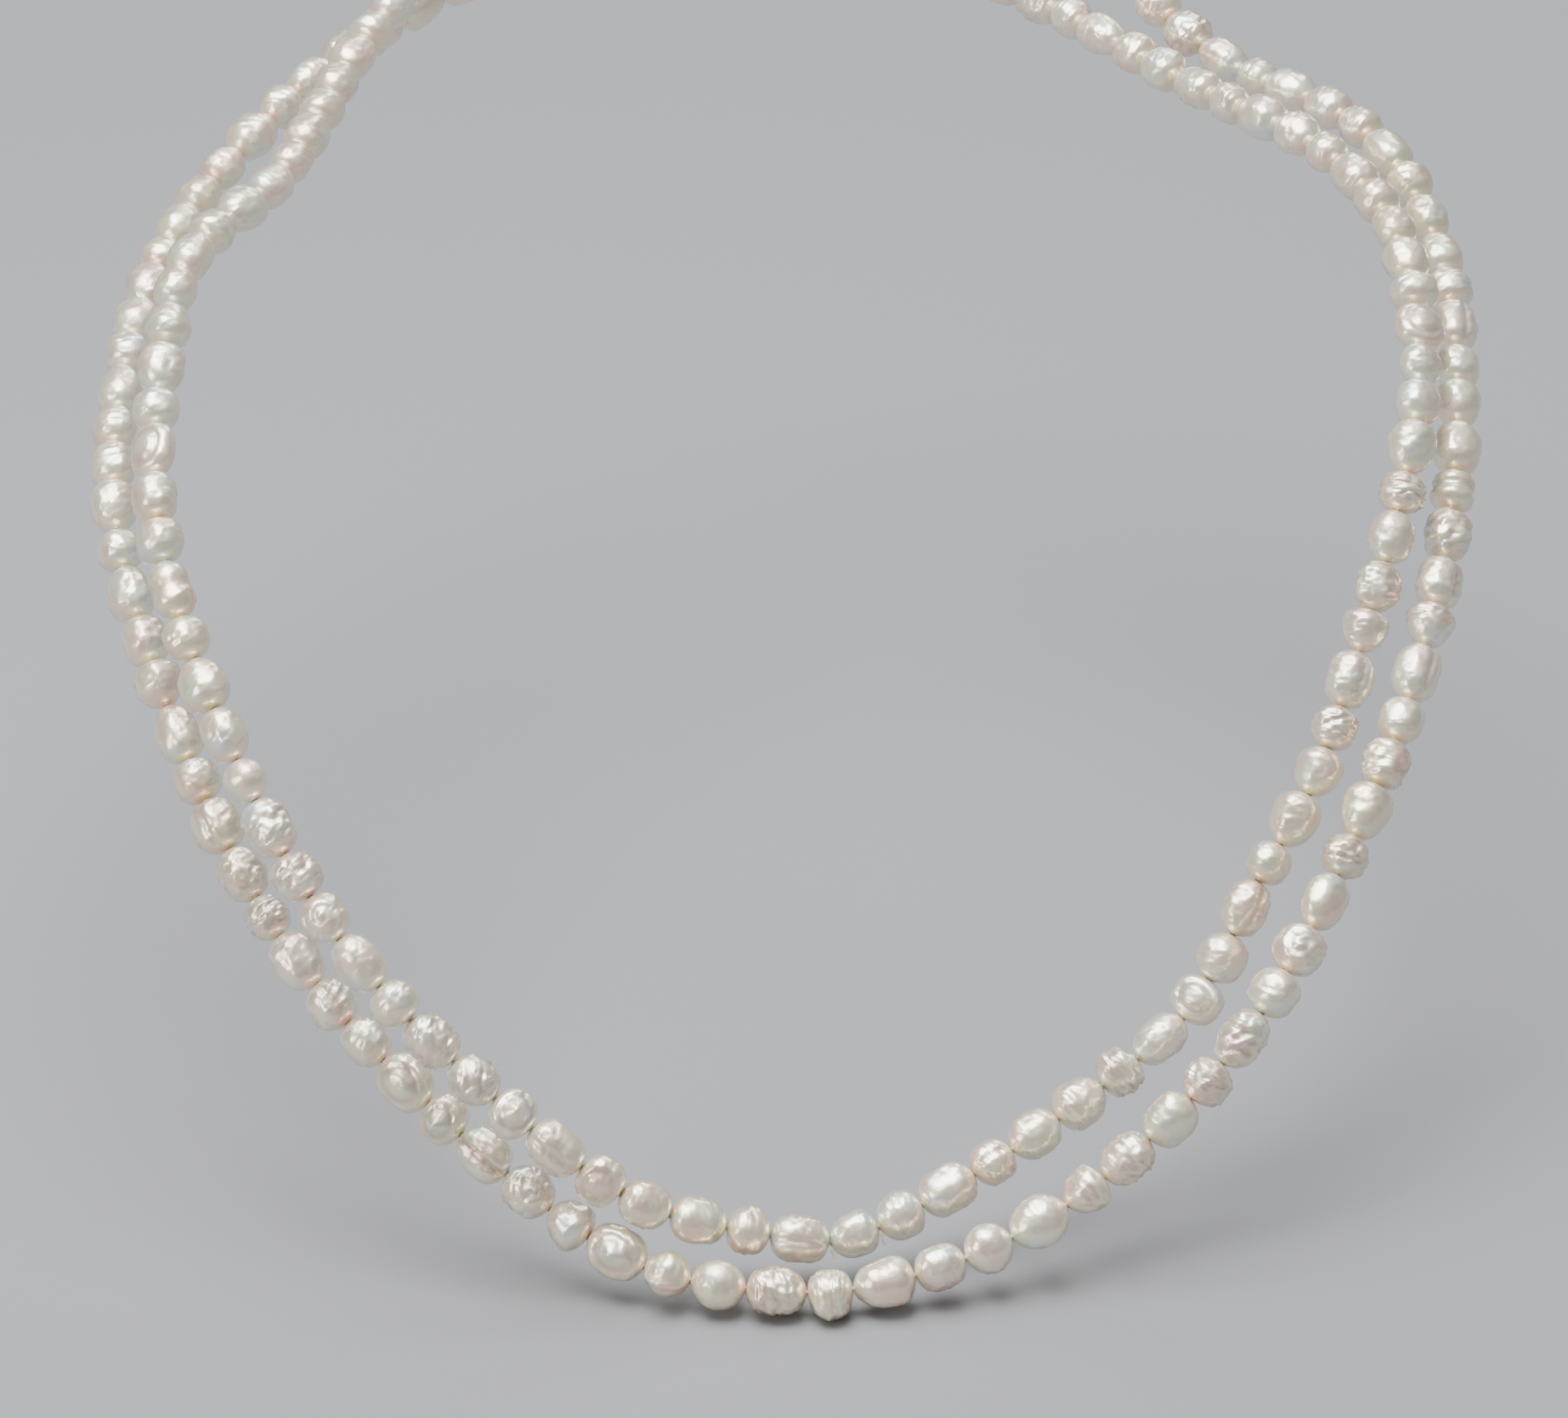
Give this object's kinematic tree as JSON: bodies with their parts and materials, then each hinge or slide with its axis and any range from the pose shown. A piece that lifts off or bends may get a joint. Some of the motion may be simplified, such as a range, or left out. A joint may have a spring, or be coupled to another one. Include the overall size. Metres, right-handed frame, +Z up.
{
  "type": "pearl necklace",
  "caption": "Double-strand necklace of baroque pearls threaded end to end, closed at the nape with a small lobster clasp.",
  "frame": {"origin": "on the axis of the wearer's neck, at the height of the nape where the clasp lies", "axes": "+Z up, +Y to the back through the clasp, -Y to the front, +X to the wearer's left, which is the right of the part seen from the front"},
  "size_m": [0.1581, 0.1764, 0.1002],
  "materials": {
    "pearl": "satin nacre, warm ivory with faint pink and green",
    "thread": "plied silk",
    "french_wire": "fine coiled wire",
    "silver": "polished"
  },
  "bodies": {
    "back": {"outer_run_01": "pearl", "outer_run_02": "pearl", "outer_run_03": "pearl", "outer_run_04": "pearl", "outer_run_14": "pearl", "outer_run_15": "pearl", "outer_run_16": "pearl", "outer_run_17": "pearl", "inner_run_01": "pearl", "inner_run_02": "pearl", "inner_run_03": "pearl", "inner_run_04": "pearl", "inner_run_14": "pearl", "inner_run_15": "pearl", "inner_run_16": "pearl", "inner_run_17": "pearl", "outer_thread_right": "thread", "outer_thread_left": "thread", "inner_thread_right": "thread", "inner_thread_left": "thread", "knot_outer_right": "thread", "knot_outer_left": "thread", "knot_inner_right": "thread", "knot_inner_left": "thread", "gimp_outer_right": "french_wire", "gimp_outer_left": "french_wire", "gimp_inner_right": "french_wire", "gimp_inner_left": "french_wire", "ring_left": "silver", "ring_right": "silver"},
    "outer_front": {"outer_run_05": "pearl", "outer_run_06": "pearl", "outer_run_07": "pearl", "outer_run_08": "pearl", "outer_run_09": "pearl", "outer_run_10": "pearl", "outer_run_11": "pearl", "outer_run_12": "pearl", "outer_run_13": "pearl", "outer_thread_front": "thread"},
    "inner_front": {"inner_run_05": "pearl", "inner_run_06": "pearl", "inner_run_07": "pearl", "inner_run_08": "pearl", "inner_run_09": "pearl", "inner_run_10": "pearl", "inner_run_11": "pearl", "inner_run_12": "pearl", "inner_run_13": "pearl", "inner_thread_front": "thread"},
    "clasp": {"clasp_body": "silver", "trigger_pin": "silver", "trigger_spring": "silver"},
    "trigger": {"trigger": "silver"}
  },
  "joints": [
    {"name": "outer_swing", "type": "hinge", "parent": "back", "child": "outer_front", "pos_m": [-0.00071, -0.0415, -0.02825], "axis": [-0.998, -0.0172, -0.0612], "range_deg": [0, 13.6]},
    {"name": "inner_swing", "type": "hinge", "parent": "back", "child": "inner_front", "pos_m": [0.00046, -0.03967, -0.01508], "axis": [-0.9991, 0.0091, 0.0407], "range_deg": [0, 30]},
    {"name": "clasp_roll", "type": "hinge", "parent": "back", "child": "clasp", "pos_m": [0, 0.052, 0], "axis": [1, 0, 0], "range_deg": [-15, 15]},
    {"name": "trigger_press", "type": "hinge", "parent": "clasp", "child": "trigger", "pos_m": [-0.0002, 0.052, 0.0009], "axis": [0, 1, 0], "range_deg": [0, 24], "stiffness_Nm_per_rad": 0.004, "springref_deg": -20.05}
  ],
  "couplings": [
    {"joint": "outer_swing", "follows": "inner_swing", "ratio": 0.45}
  ]
}
